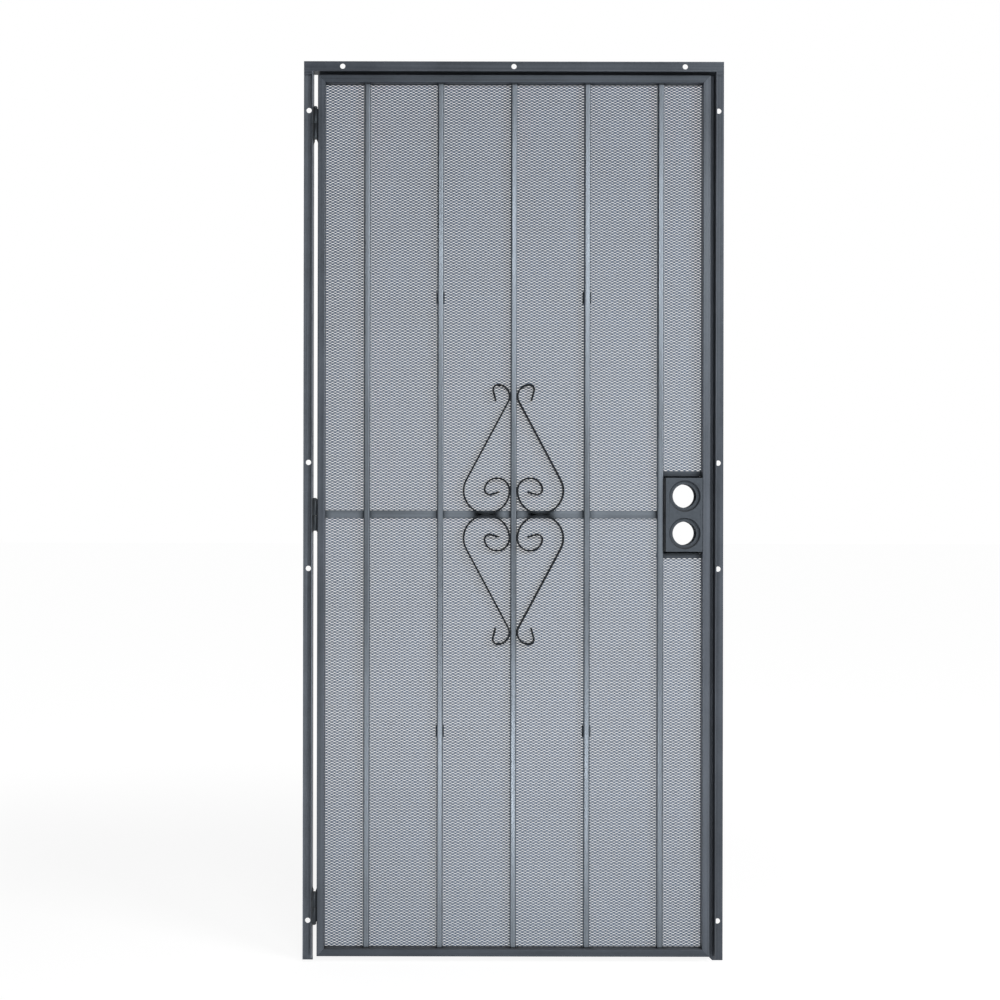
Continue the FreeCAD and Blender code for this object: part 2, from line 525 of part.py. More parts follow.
def make_lock_box():
    """Pan with recessed bores and bolt slots, a wider cover behind it, and a flat above and below it."""
    body = new_body("lock_box_front")
    block = new_sketch(body, "lock_block", "XZ_Plane")
    add_outline(block, rectangle(LOCK_LEFT, INNER_RIGHT, LOCK_FOOT, LOCK_TOP))
    pad(body, block, "dim.lock_depth - dim.lock_sheet")
    block.setExpression("AttachmentOffset.Base.z", f"-({LOCK_BACK} - dim.lock_sheet)")
    doc.recompute()
    inside = new_sketch(body, "lock_inside", "XZ_Plane")
    inside.setExpression("AttachmentOffset.Base.z", f"-({LEAF_FRONT} + dim.lock_sheet)")
    add_outline(inside, rectangle(f"{LOCK_LEFT} + dim.lock_sheet", f"{INNER_RIGHT} - dim.lock_sheet",
                                  f"{LOCK_FOOT} + dim.lock_sheet", f"{LOCK_TOP} - dim.lock_sheet"))
    before = body.Shape.Volume
    hollow = body.newObject("PartDesign::Pocket", "lock_hollow")
    hollow.Profile = inside
    hollow.Type = "ThroughAll"
    doc.recompute()
    if not body.Shape.Volume < before / 2:
        raise RuntimeError("the lock box isn't hollow")
    openings = new_sketch(body, "dish_openings", "XZ_Plane")
    for side in (-1, 1):
        add_circle(openings, BORE_CENTRE, f"{CROSSBAR_MIDDLE} + {side} * dim.bore_pitch / 2",
                   "dim.dish - 2 * dim.lock_sheet")
    cut_through(body, openings)
    for side, place in ((-1, "lower"), (1, "upper")):
        dish = new_sketch(body, f"{place}_dish", "YZ_Plane")
        dish.setExpression("AttachmentOffset.Base.z", BORE_CENTRE)
        middle = f"({CROSSBAR_MIDDLE} + {side} * dim.bore_pitch / 2)"
        floor = f"({LEAF_FRONT} + dim.dish_depth)"
        rim = f"({middle} + dim.dish / 2)"
        add_outline(dish, [
            (LEAF_FRONT, rim), (LEAF_FRONT, f"{rim} - dim.lock_sheet"),
            (floor, f"{rim} - dim.lock_sheet - dim.dish_slope"), (floor, f"{middle} + dim.bore / 2"),
            (f"{floor} + dim.lock_sheet", f"{middle} + dim.bore / 2"),
            (f"{floor} + dim.lock_sheet", f"{rim} - dim.dish_slope"),
        ])
        spin_line = dish.addGeometry(Part.LineSegment(
            FreeCAD.Vector(value(LEAF_FRONT), value(middle), 0),
            FreeCAD.Vector(value(LOCK_BACK), value(middle), 0)), True)
        pin_point(dish, spin_line, 1, LEAF_FRONT, middle)
        pin_point(dish, spin_line, 2, LOCK_BACK, middle)
        ring = body.newObject("PartDesign::Revolution", f"{place}_dish_ring")
        ring.Profile = dish
        ring.ReferenceAxis = (dish, ["Axis0"])
        ring.Angle = 360
        doc.recompute()
    slots = new_sketch(body, "lock_bolt_slots", "YZ_Plane")
    slots.setExpression("AttachmentOffset.Base.z", f"{INNER_RIGHT} - 2 * dim.lock_sheet")
    add_bolt_slots(slots)
    before = body.Shape.Volume
    edge = body.newObject("PartDesign::Pocket", "lock_edge_slots")
    edge.Profile = slots
    edge.Type = "ThroughAll"
    edge.Reversed = True
    doc.recompute()
    if not body.Shape.Volume < before - 1e-6:
        raise RuntimeError("the bolt slots cut nothing")
    publish("lock_box_front", body)

    cover = new_body("lock_box_back")
    plate = new_sketch(cover, "cover_plate", "XZ_Plane")
    add_outline(plate, rectangle(f"{LOCK_LEFT} - dim.cover_rim", INNER_RIGHT,
                                 f"{LOCK_FOOT} - dim.cover_rim", f"{LOCK_TOP} + dim.cover_rim"))
    for side in (-1, 1):
        add_circle(plate, BORE_CENTRE, f"{CROSSBAR_MIDDLE} + {side} * dim.bore_pitch / 2", "dim.bore")
    pad(cover, plate, "dim.lock_sheet")
    plate.setExpression("AttachmentOffset.Base.z", f"-{LOCK_BACK}")
    publish("lock_box_back", cover)

    flat_left = f"({LAST_BAR} - dim.bar_width / 2)"
    for place, foot in (("upper", f"({LOCK_TOP} + dim.lock_flat_gap)"),
                        ("lower", f"({LOCK_FOOT} - dim.lock_flat_gap - dim.lock_flat_height)")):
        publish(f"lock_flat_{place}", box(
            f"lock_flat_{place}_block",
            (flat_left, BAR_BACK, foot), (INNER_RIGHT, FLAT_BACK, f"{foot} + dim.lock_flat_height")))


CLIP_PLACES = [(f"clip_bar_{bar}_{place}", bar, side) for bar in (2, 4)
               for place, side in (("upper", 1), ("lower", -1))]


def clip_leg(bar, side, hand, room):
    """Edges of one leg of a clip, on one hand of its bar, with room round it: left, right, low, high."""
    middle = f"({LEAF_CENTRE} + {bar - 3} * {BAR_PITCH})"
    height = f"({CROSSBAR_MIDDLE} + {side} * dim.clip_spread)"
    near = f"(dim.bar_width / 2 + dim.clip_gap - {room})"
    far = f"(dim.bar_width / 2 + dim.clip_gap + dim.clip_sheet + {room})"
    left, right = (f"({middle} + {near})", f"({middle} + {far})")
    if hand < 0:
        left, right = (f"({middle} - {far})", f"({middle} - {near})")
    half = f"(dim.clip_height / 2 + {room})"
    return left, right, f"({height} - {half})", f"({height} + {half})"


def make_screen():
    """The screen inside the tubes, cut out round the lock box and slotted for the clips' legs."""
    body = new_body("screen")
    sheet = new_sketch(body, "screen_outline", "XZ_Plane")
    room = "dim.lock_flat_gap"
    add_outline(sheet, [
        (INNER_LEFT, INNER_FOOT), (INNER_RIGHT, INNER_FOOT), (INNER_RIGHT, f"{LOCK_FOOT} - {room}"),
        (f"{LAST_BAR}", f"{LOCK_FOOT} - {room}"), (f"{LAST_BAR}", f"{LOCK_TOP} + {room}"),
        (INNER_RIGHT, f"{LOCK_TOP} + {room}"), (INNER_RIGHT, INNER_TOP), (INNER_LEFT, INNER_TOP),
    ])
    for _, bar, side in CLIP_PLACES:
        for hand in (-1, 1):
            add_outline(sheet, rectangle(*clip_leg(bar, side, hand, "dim.clip_gap")))
    pad(body, sheet, "dim.screen_thickness")
    sheet.setExpression("AttachmentOffset.Base.z", f"-{SCREEN_BACK}")
    publish("screen", body)


def make_clips():
    """Clips that straddle a bar from behind the screen."""
    for name, bar, side in CLIP_PLACES:
        left, _, low, high = clip_leg(bar, side, -1, "0")
        _, right, _, _ = clip_leg(bar, side, 1, "0")
        body = new_body(name)
        section = new_sketch(body, f"{name}_section", "XY_Plane")
        section.setExpression("AttachmentOffset.Base.z", low)
        inside_left, inside_right = f"{left} + dim.clip_sheet", f"{right} - dim.clip_sheet"
        seat = f"({SCREEN_BACK} + dim.clip_gap)"
        tip = f"({BAR_FRONT} + dim.bar_width / 2)"
        back = f"({seat} + dim.clip_sheet)"
        add_outline(section, [
            (left, tip), (inside_left, tip), (inside_left, seat), (inside_right, seat),
            (inside_right, tip), (right, tip), (right, back), (left, back),
        ])
        pad(body, section, "dim.clip_height")
        publish(name, body)


def make_hinge_half(name, side, low, high, ends):
    """Knuckle between two heights, with a plate whose ends taper to the face that it is welded to."""
    face, edge = {"frame": (HINGE_STEM, f"({HINGE_STEM} + dim.hinge_plate)"),
                  "leaf": (LEAF_LEFT, f"({LEAF_LEFT} - dim.hinge_plate)")}[side]
    foot, top, tail_foot, tail_top = ends
    plate_front = f"({AXIS_Y} + dim.hinge_plate_setback)"
    plate = new_body(f"{name}_plate")
    outline = new_sketch(plate, f"{name}_plate_outline", "XZ_Plane")
    add_outline(outline, [(face, tail_foot), (edge, foot), (edge, top), (face, tail_top)])
    pad(plate, outline, "dim.hinge_plate_depth")
    outline.setExpression("AttachmentOffset.Base.z", f"-({plate_front} + dim.hinge_plate_depth)")
    left, right = (face, edge) if side == "frame" else (edge, face)
    ear = box(f"{name}_ear", (left, AXIS_Y, low), (right, plate_front, high))
    barrel = cylinder(f"{name}_barrel", "dim.barrel", (AXIS_X, AXIS_Y, low), f"{high} - {low}")
    bore = cylinder(f"{name}_bore", "dim.pin + 2 * dim.pin_clearance", (AXIS_X, AXIS_Y, foot),
                    "dim.hinge_length")
    publish(name, cut(f"{name}_bored", fuse(f"{name}_solid", [barrel, ear, plate]), bore))


def make_hinge_pin(name, end, shoulder, head_end, chamfer):
    """Turned pin from its plain end to its shoulder, with a chamfered head beyond that."""
    body = new_body(name)
    turned = new_sketch(body, f"{name}_section", "XZ_Plane")
    add_outline(turned, [
        ("0", end), ("dim.pin / 2", end), ("dim.pin / 2", shoulder), ("dim.barrel / 2", shoulder),
        ("dim.barrel / 2", chamfer), ("dim.barrel / 2 - dim.pin_chamfer", head_end), ("0", head_end),
    ])
    spin = body.newObject("PartDesign::Revolution", f"{name}_turned")
    spin.Profile = turned
    spin.ReferenceAxis = (turned, ["V_Axis"])
    spin.Angle = 360
    body.setExpression("Placement.Base.x", AXIS_X)
    body.setExpression("Placement.Base.y", AXIS_Y)
    publish(name, body)


def make_hinges():
    """Three hinges, each with its lower half on the frame, its upper half on the leaf and a headed pin.

    The heads are at the top of the upper and middle hinges and at the foot of the lower one. The plates
    taper at the other ends of the outer hinges, and a little at both ends of the middle one.
    """
    knuckle = "((dim.hinge_length - dim.knuckle_gap) / 2)"
    for place, middle, head, taper_foot, taper_top in (
            ("upper", f"({LEAF_TOP} - dim.hinge_end)", 1, 1, 0),
            ("middle", LEAF_MIDDLE, 1, 0.5, 0.5),
            ("lower", f"({LEAF_FOOT} + dim.hinge_end)", -1, 0, 1)):
        foot = f"({middle} - dim.hinge_length / 2)"
        top = f"({middle} + dim.hinge_length / 2)"
        ends = (foot, top, f"({foot} - {taper_foot} * dim.hinge_plate_tail)",
                f"({top} + {taper_top} * dim.hinge_plate_tail)")
        make_hinge_half(f"hinge_{place}_frame_half", "frame", foot, f"({foot} + {knuckle})", ends)
        make_hinge_half(f"hinge_{place}_leaf_half", "leaf", f"({top} - {knuckle})", top, ends)
        end, last = (foot, top) if head > 0 else (top, foot)
        shoulder = f"({last} + {head} * dim.knuckle_gap / 2)"
        head_end = f"({shoulder} + {head} * dim.pin_head)"
        make_hinge_pin(f"hinge_{place}_pin", end, shoulder, head_end,
                       f"({head_end} - {head} * dim.pin_chamfer)")


def write_parts():
    """Check every object and write each sub-part to a file of its own."""
    doc.recompute()
    for item in doc.Objects:
        if "Invalid" in item.State or "Error" in item.State:
            raise RuntimeError(f"{item.Name} failed: {item.State}")
    for name, feature in parts.items():
        if feature.Shape.isNull() or not feature.Shape.isValid():
            raise RuntimeError(f"{name} has no valid shape")
        if len(feature.Shape.Solids) != 1:
            raise RuntimeError(f"{name} has {len(feature.Shape.Solids)} solids")
    os.makedirs("parts", exist_ok=True)
    for name, feature in parts.items():
        feature.Shape.exportStep(f"parts/{name}.step")
        print(f"{name}: {feature.Shape.Volume:.0f} mm3, {feature.Shape.BoundBox}")


make_header()
make_hinge_jamb()
make_latch_jamb()
make_leaf_tubes()
make_bars()
make_scrolls()
make_lock_box()
make_screen()
make_clips()
make_hinges()
write_parts()
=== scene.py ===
"""Looks of a steel security screen door: paint, expanded metal screen, welds, studio stage and camera."""

import math

import bpy
import numpy as np
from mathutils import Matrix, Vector


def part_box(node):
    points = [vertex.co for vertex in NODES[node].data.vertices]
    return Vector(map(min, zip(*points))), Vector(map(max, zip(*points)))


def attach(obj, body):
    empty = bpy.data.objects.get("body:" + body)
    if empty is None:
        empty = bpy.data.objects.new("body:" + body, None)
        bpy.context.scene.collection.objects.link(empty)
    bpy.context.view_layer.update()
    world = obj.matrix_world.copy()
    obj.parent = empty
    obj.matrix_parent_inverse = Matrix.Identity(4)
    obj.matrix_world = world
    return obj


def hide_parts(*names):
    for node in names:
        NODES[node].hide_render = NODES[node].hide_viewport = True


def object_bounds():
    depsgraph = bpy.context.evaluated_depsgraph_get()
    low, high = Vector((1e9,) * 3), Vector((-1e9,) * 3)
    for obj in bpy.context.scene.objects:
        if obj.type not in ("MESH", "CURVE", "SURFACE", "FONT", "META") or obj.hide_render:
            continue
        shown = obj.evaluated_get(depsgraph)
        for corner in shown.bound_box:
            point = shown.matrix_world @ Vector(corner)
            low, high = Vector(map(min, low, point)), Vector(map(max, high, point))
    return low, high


bl_info = {
    "name": "Security Screen Door Looks",
    "version": (1, 0, 0),
    "blender": (4, 5, 0),
    "location": "3D View > Sidebar > Door",
    "description": "Paints a steel security screen door, makes its screen and welds, and sets the studio",
    "category": "Object",
}

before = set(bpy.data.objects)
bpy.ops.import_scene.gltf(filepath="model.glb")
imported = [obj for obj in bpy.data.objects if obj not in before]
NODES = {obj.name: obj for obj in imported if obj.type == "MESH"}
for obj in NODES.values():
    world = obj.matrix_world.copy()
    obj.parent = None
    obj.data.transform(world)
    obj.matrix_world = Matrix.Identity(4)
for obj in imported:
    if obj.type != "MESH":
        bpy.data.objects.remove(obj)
CAD_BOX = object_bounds()
MM = 0.001

BARS = [f"bar_{number}" for number in range(1, 6)]
MIDDLE_BAR = "bar_3"
SCROLLS = [f"scroll_{up}_{side}" for up in ("upper", "lower") for side in ("left", "right")]
HINGES = [f"hinge_{place}" for place in ("upper", "middle", "lower")]


class PaintSettings(bpy.types.PropertyGroup):
    """Colours and sheen of the powder coat."""

    frame_colour: bpy.props.FloatVectorProperty(
        name="Frame", description="Coat of the header and the latch jamb", subtype="COLOR",
        default=(0.075, 0.085, 0.102))
    # Painted light: the hinge jamb's coat is about twice as light as the header's and the latch jamb's, to
    # offset the shadow that its stem casts on its flange
    lightened_jamb_colour: bpy.props.FloatVectorProperty(
        name="Hinge jamb", description="Coat of the hinge jamb", subtype="COLOR",
        default=(0.150, 0.168, 0.196))
    stile_colour: bpy.props.FloatVectorProperty(
        name="Stiles", description="Coat of the stiles", subtype="COLOR",
        default=(0.067, 0.076, 0.093))
    rail_colour: bpy.props.FloatVectorProperty(
        name="Rails", description="Coat of the rails and flats", subtype="COLOR",
        default=(0.043, 0.050, 0.062))
    bar_colour: bpy.props.FloatVectorProperty(
        name="Bars", description="Coat of the upright bars and the crossbar", subtype="COLOR",
        default=(0.144, 0.165, 0.190))
    # Painted shade: the scrolls are painted near black, darker than the rest of the coat, for the shade on
    # their narrow faces seen edge-on
    shaded_scroll_colour: bpy.props.FloatVectorProperty(
        name="Scrolls", description="Coat of the scrolls", subtype="COLOR",
        default=(0.008, 0.009, 0.011))
    lock_colour: bpy.props.FloatVectorProperty(
        name="Lock box", description="Coat of the lock box", subtype="COLOR",
        default=(0.048, 0.056, 0.068))
    screen_colour: bpy.props.FloatVectorProperty(
        name="Screen", description="Coat of the expanded metal", subtype="COLOR",
        default=(0.064, 0.097, 0.156))
    hinge_colour: bpy.props.FloatVectorProperty(
        name="Hinges", description="Coat of the hinges and the clips", subtype="COLOR",
        default=(0.010, 0.012, 0.015))
    satin_roughness: bpy.props.FloatProperty(
        name="Satin roughness", description="Roughness of the coat on the frame, the leaf and the bars",
        subtype="FACTOR", default=0.37, min=0, max=1)
    roughness: bpy.props.FloatProperty(
        name="Roughness", description="Roughness of the coat on the small pieces", subtype="FACTOR",
        default=0.47, min=0, max=1)
    screen_roughness: bpy.props.FloatProperty(
        name="Screen roughness", description="Roughness of the coat on the expanded metal",
        subtype="FACTOR", default=0.45, min=0, max=1)
    weld_roughness: bpy.props.FloatProperty(
        name="Weld roughness", description="Roughness of the coat on the weld beads", subtype="FACTOR",
        default=0.4, min=0, max=1)
    bar_metal: bpy.props.FloatProperty(
        name="Bar metal", description="How much the coat of the bars mirrors as metal does",
        subtype="FACTOR", default=0.85, min=0, max=1)


class EdgeSettings(bpy.types.PropertyGroup):
    """Widths of the rounded edges."""

    frame_edge: bpy.props.FloatProperty(
        name="Frame edges", description="Rounding of the header, the jambs and the crossbar",
        unit="LENGTH", default=0.5 * MM)
    tube_edge: bpy.props.FloatProperty(
        name="Tube edges", description="Rounding of the stiles, the rails and the flats",
        unit="LENGTH", default=1.2 * MM)
    bar_edge: bpy.props.FloatProperty(
        name="Bar edges", description="Rounding of the upright bars", unit="LENGTH", default=3.6 * MM)
    scroll_edge: bpy.props.FloatProperty(
        name="Scroll edges", description="Rounding of the scrolls", unit="LENGTH", default=1.8 * MM)
    lock_edge: bpy.props.FloatProperty(
        name="Lock box edges", description="Rounding of the lock box", unit="LENGTH", default=0.4 * MM)
    hinge_edge: bpy.props.FloatProperty(
        name="Hinge edges", description="Rounding of the hinges", unit="LENGTH", default=0.4 * MM)
    clip_edge: bpy.props.FloatProperty(
        name="Clip edges", description="Rounding of the screen clips", unit="LENGTH", default=0.3 * MM)


class ScreenSettings(bpy.types.PropertyGroup):
    """Sizes of the expanded metal."""

    diamond_width: bpy.props.FloatProperty(
        name="Diamond width", description="Long way of one diamond", unit="LENGTH", default=12.4 * MM)
    diamond_height: bpy.props.FloatProperty(
        name="Diamond height", description="Short way of one diamond", unit="LENGTH", default=6.4 * MM)
    strand_width: bpy.props.FloatProperty(
        name="Strand width", description="Width of a strand in the slit sheet", unit="LENGTH",
        default=2.24 * MM)
    strand_thickness: bpy.props.FloatProperty(
        name="Strand thickness", description="Thickness of the slit sheet", unit="LENGTH", default=0.8 * MM)
    strand_tilt: bpy.props.FloatProperty(
        name="Strand tilt", description="Lean of the strands out of the sheet", subtype="ANGLE",
        default=math.radians(8))
    bond_overlap: bpy.props.FloatProperty(
        name="Bond overlap", description="Overlap of two strands where they are joined", unit="LENGTH",
        default=0.2 * MM)


class WeldSettings(bpy.types.PropertyGroup):
    """Sizes and places of the weld beads."""

    bead_radius: bpy.props.FloatProperty(
        name="Bead radius", description="Reach of a bead from its corner", unit="LENGTH", default=1.5 * MM)
    tack_radius: bpy.props.FloatProperty(
        name="Tack radius", description="Reach of the tacks between the lock box and its flats",
        unit="LENGTH", default=5 * MM)
    ripple: bpy.props.FloatProperty(
        name="Ripple", description="Length of one ripple of a bead", unit="LENGTH", default=1.9 * MM)
    loop_rise: bpy.props.FloatProperty(
        name="Loop rise", description="Crossbar's middle to where a scroll's loop meets the middle bar",
        unit="LENGTH", default=54.7 * MM)
    hook_rise: bpy.props.FloatProperty(
        name="Hook rise", description="Crossbar's middle to where a scroll's hook meets the middle bar",
        unit="LENGTH", default=271.6 * MM)
    crevice: bpy.props.FloatProperty(
        name="Crevice", description="Beads above and below the line where a scroll meets the bar",
        unit="LENGTH", default=5 * MM)
    seam: bpy.props.FloatProperty(
        name="Seam", description="Length of the weld between the header's flange and a jamb's",
        unit="LENGTH", default=21 * MM)
    sheet: bpy.props.FloatProperty(
        name="Sheet", description="Thickness of the flanges, from the wall to their front", unit="LENGTH",
        default=1.5 * MM)


class StageSettings(bpy.types.PropertyGroup):
    """Camera, lights and floor."""

    distance: bpy.props.FloatProperty(
        name="Camera distance", description="Camera to the wall", unit="LENGTH", default=3.2)
    camera_across: bpy.props.FloatProperty(
        name="Camera across", description="Camera from the hinge jamb's centre line", unit="LENGTH",
        default=0.3134)
    camera_height: bpy.props.FloatProperty(
        name="Camera height", description="Camera above the floor", unit="LENGTH", default=1.0395)
    camera_roll: bpy.props.FloatProperty(
        name="Camera roll", description="Lean of the camera about its line of sight", subtype="ANGLE",
        default=math.radians(-0.1))
    picture_width: bpy.props.FloatProperty(
        name="Picture width", description="Width of the picture at the wall", unit="LENGTH",
        default=2.3125)
    shift: bpy.props.FloatVectorProperty(
        name="Shift", description="Lens shift across and up", size=2, default=(0.056, 0.010))
    upper_power: bpy.props.FloatProperty(
        name="Upper light", description="Power of the soft light above the camera", unit="POWER",
        default=33)
    lower_power: bpy.props.FloatProperty(
        name="Lower light", description="Power of the soft light near the floor", unit="POWER", default=8)
    side_power: bpy.props.FloatProperty(
        name="Side light", description="Power of the soft light on the latch side", unit="POWER",
        default=75)
    fill_power: bpy.props.FloatProperty(
        name="Fill light", description="Power of the weak light on the hinge side", unit="POWER",
        default=20)
    backdrop: bpy.props.FloatProperty(
        name="Backdrop", description="Strength of the light that the backdrop sends to the door's back",
        default=0.5)
    sky: bpy.props.FloatProperty(
        name="Sky", description="Strength of the even light all round", default=0.05)
    floor_glow: bpy.props.FloatProperty(
        name="Floor glow", description="Light that the floor adds where it is seen near the door",
        default=0.86)
    far_glow: bpy.props.FloatProperty(
        name="Far glow", description="Light that the floor adds where it is seen far from the door",
        default=0.94)
    floor_near: bpy.props.FloatProperty(
        name="Floor near", description="Where the floor's glow begins to change, from the hinge jamb",
        unit="LENGTH", default=1.0)
    floor_far: bpy.props.FloatProperty(
        name="Floor far", description="Where the floor's glow reaches the far one, from the hinge jamb",
        unit="LENGTH", default=3.0)


def feed(tree, socket, term):
    """Give a socket a link or a value."""
    if isinstance(term, bpy.types.NodeSocket):
        tree.links.new(term, socket)
    else:
        socket.default_value = term


def math_node(tree, operation, *terms):
    """The result of a sum whose terms are sockets or numbers."""
    node = tree.nodes.new("ShaderNodeMath")
    node.operation = operation
    for socket, term in zip(node.inputs, terms):
        feed(tree, socket, term)
    return node.outputs[0]


def vector_node(tree, operation, *terms):
    """The outputs of a sum whose terms are vectors."""
    node = tree.nodes.new("ShaderNodeVectorMath")
    node.operation = operation
    for socket, term in zip(node.inputs, terms):
        feed(tree, socket, term)
    return node.outputs


def noise(tree, place, scale, detail):
    """A noise pattern over a place."""
    node = tree.nodes.new("ShaderNodeTexNoise")
    feed(tree, node.inputs["Vector"], place)
    feed(tree, node.inputs["Scale"], scale)
    feed(tree, node.inputs["Detail"], detail)
    return node.outputs["Fac"]


def scaled(tree, colour, amount):
    """A colour made darker or lighter by an amount."""
    node = tree.nodes.new("ShaderNodeVectorMath")
    node.operation = "SCALE"
    feed(tree, node.inputs[0], colour)
    feed(tree, node.inputs["Scale"], amount)
    return node.outputs["Vector"]


def mix_colour(tree, share, first, second):
    """Two colours mixed by a share."""
    node = tree.nodes.new("ShaderNodeMix")
    node.data_type = "RGBA"
    for name, term in (("Factor_Float", share), ("A_Color", first), ("B_Color", second)):
        feed(tree, next(socket for socket in node.inputs if socket.identifier == name), term)
    return next(socket for socket in node.outputs if socket.identifier == "Result_Color")


# Powder coat: scales and details of its noise patterns
CLOUD_SCALE = 9.0
CLOUD_DETAIL = 6.0
GRAIN_SCALE = 260.0
GRAIN_DETAIL = 3.0
LINE_DETAIL = 2.0
PEEL_SCALE = 700.0
SCREEN_PEEL_SCALE = 900.0
PEEL_DETAIL = 1.0

# Powder coat: scales of the lines that rolling leaves in the steel, along X, Y and Z
ROLLED_UPRIGHT = (230, 230, 1.5)
ROLLED_LEVEL = (1.5, 230, 230)
ROLLED_EVENLY = (150, 150, 150)

# Powder coat: weight of the grain and the lines beside the clouds, and what all three come to on average
GRAIN_WEIGHT = 0.45
LINE_WEIGHT = 1.4
PATTERN_MEAN = (1 + GRAIN_WEIGHT + LINE_WEIGHT) / 2

# Powder coat: lighter edges (wear and painted highlight), painted shade in crevices, dust and orange peel
PATTERN_RAYS = 4
EDGE_REACH = 1.6 * MM
EDGE_GAIN = 3.0
CREVICE_REACH = 16 * MM
CREVICE_DULLING = 0.5
UNEVEN_SHEEN = 0.22
DUST_COLOUR = (0.30, 0.29, 0.27, 1)
PEEL_STRENGTH = 0.5
PEEL_DEPTH = 0.04 * MM
REFLECTION_TINT = (0.80, 0.91, 1.0, 1)


def worn_and_highlit_edges(tree, facing, grain):
    """One on sharp edges, broken up by the grain, and nought on flat faces: the mask of edge wear and of
    painted edge highlight.
    """
    bent = tree.nodes.new("ShaderNodeBevel")
    bent.samples = PATTERN_RAYS
    bent.inputs["Radius"].default_value = EDGE_REACH
    turn = vector_node(tree, "DOT_PRODUCT", bent.outputs["Normal"], facing)["Value"]
    edge = math_node(tree, "MULTIPLY", math_node(tree, "SUBTRACT", 1.0, turn), EDGE_GAIN)
    return math_node(tree, "MULTIPLY", math_node(tree, "MINIMUM", edge, 1.0), grain)


def unshaded_share(tree, crevice_shade):
    """One in the open, and less in crevices by the share given, for the painted shade of crevices."""
    hollow = tree.nodes.new("ShaderNodeAmbientOcclusion")
    hollow.samples = PATTERN_RAYS
    hollow.inputs["Distance"].default_value = CREVICE_REACH
    # Painted shade: one less the ambient occlusion, highest in corners, creases and between parts
    closed = math_node(tree, "SUBTRACT", 1.0, hollow.outputs["AO"])
    painted_shade = math_node(tree, "MULTIPLY", closed, crevice_shade)
    return math_node(tree, "MAXIMUM", math_node(tree, "SUBTRACT", 1.0, painted_shade), 0.0)


def lying_dust(tree, facing, cloud, amount):
    """Dust in clouds on the faces that look up."""
    way = tree.nodes.new("ShaderNodeSeparateXYZ")
    feed(tree, way.inputs[0], facing)
    upward = math_node(tree, "MAXIMUM", way.outputs["Z"], 0.0)
    return math_node(tree, "MULTIPLY", math_node(tree, "MULTIPLY", upward, cloud), amount)


def powder_coat_group():
    """Mottle, orange peel, lighter edges (thin coat and painted highlight), painted shade in crevices and
    dust of a powder coat, shared by every paint.
    """
    name = "Powder coat"
    if name in bpy.data.node_groups:
        return bpy.data.node_groups[name]
    tree = bpy.data.node_groups.new(name, "ShaderNodeTree")
    for way, kind, sockets in (
            ("INPUT", "NodeSocketColor", ("Colour",)),
            ("INPUT", "NodeSocketFloat", ("Roughness", "Mottle", "Edge", "Dust", "Grime", "Peel scale")),
            ("INPUT", "NodeSocketVector", ("Streaks",)),
            ("OUTPUT", "NodeSocketColor", ("Colour",)),
            ("OUTPUT", "NodeSocketFloat", ("Roughness", "Height"))):
        for socket in sockets:
            tree.interface.new_socket(socket, in_out=way, socket_type=kind)
    source = tree.nodes.new("NodeGroupInput").outputs
    result = tree.nodes.new("NodeGroupOutput").inputs
    place = tree.nodes.new("ShaderNodeTexCoord").outputs["Object"]
    facing = tree.nodes.new("ShaderNodeNewGeometry").outputs["Normal"]

    cloud = noise(tree, place, CLOUD_SCALE, CLOUD_DETAIL)
    grain = noise(tree, place, GRAIN_SCALE, GRAIN_DETAIL)
    drawn = vector_node(tree, "MULTIPLY", place, source["Streaks"])["Vector"]
    lines = noise(tree, drawn, 1.0, LINE_DETAIL)
    spots = math_node(tree, "MULTIPLY_ADD", grain, GRAIN_WEIGHT, cloud)
    pattern = math_node(tree, "MULTIPLY_ADD", lines, LINE_WEIGHT, spots)
    uneven = math_node(tree, "SUBTRACT", pattern, PATTERN_MEAN)
    unshaded = unshaded_share(tree, source["Grime"])
    dust = lying_dust(tree, facing, cloud, source["Dust"])

    tone = math_node(tree, "MULTIPLY_ADD", uneven, source["Mottle"], 1.0)
    # Lighter edges: partly a thin, worn coat and partly a painted highlight along the rounded edges
    tone = math_node(tree, "MULTIPLY_ADD", worn_and_highlit_edges(tree, facing, grain), source["Edge"], tone)
    # Painted shade: the colour is darkened in crevices, in corners and between parts, where shade falls
    tone = math_node(tree, "MULTIPLY", tone, unshaded)
    shade = scaled(tree, source["Colour"], tone)
    feed(tree, result["Colour"], mix_colour(tree, dust, shade, DUST_COLOUR))

    sheen = math_node(tree, "MULTIPLY_ADD", uneven, UNEVEN_SHEEN, source["Roughness"])
    closed = math_node(tree, "SUBTRACT", 1.0, unshaded)
    dull = math_node(tree, "MULTIPLY_ADD", closed, CREVICE_DULLING, sheen)
    feed(tree, result["Roughness"], math_node(tree, "ADD", dull, dust))
    feed(tree, result["Height"], noise(tree, place, source["Peel scale"], PEEL_DETAIL))
    return tree


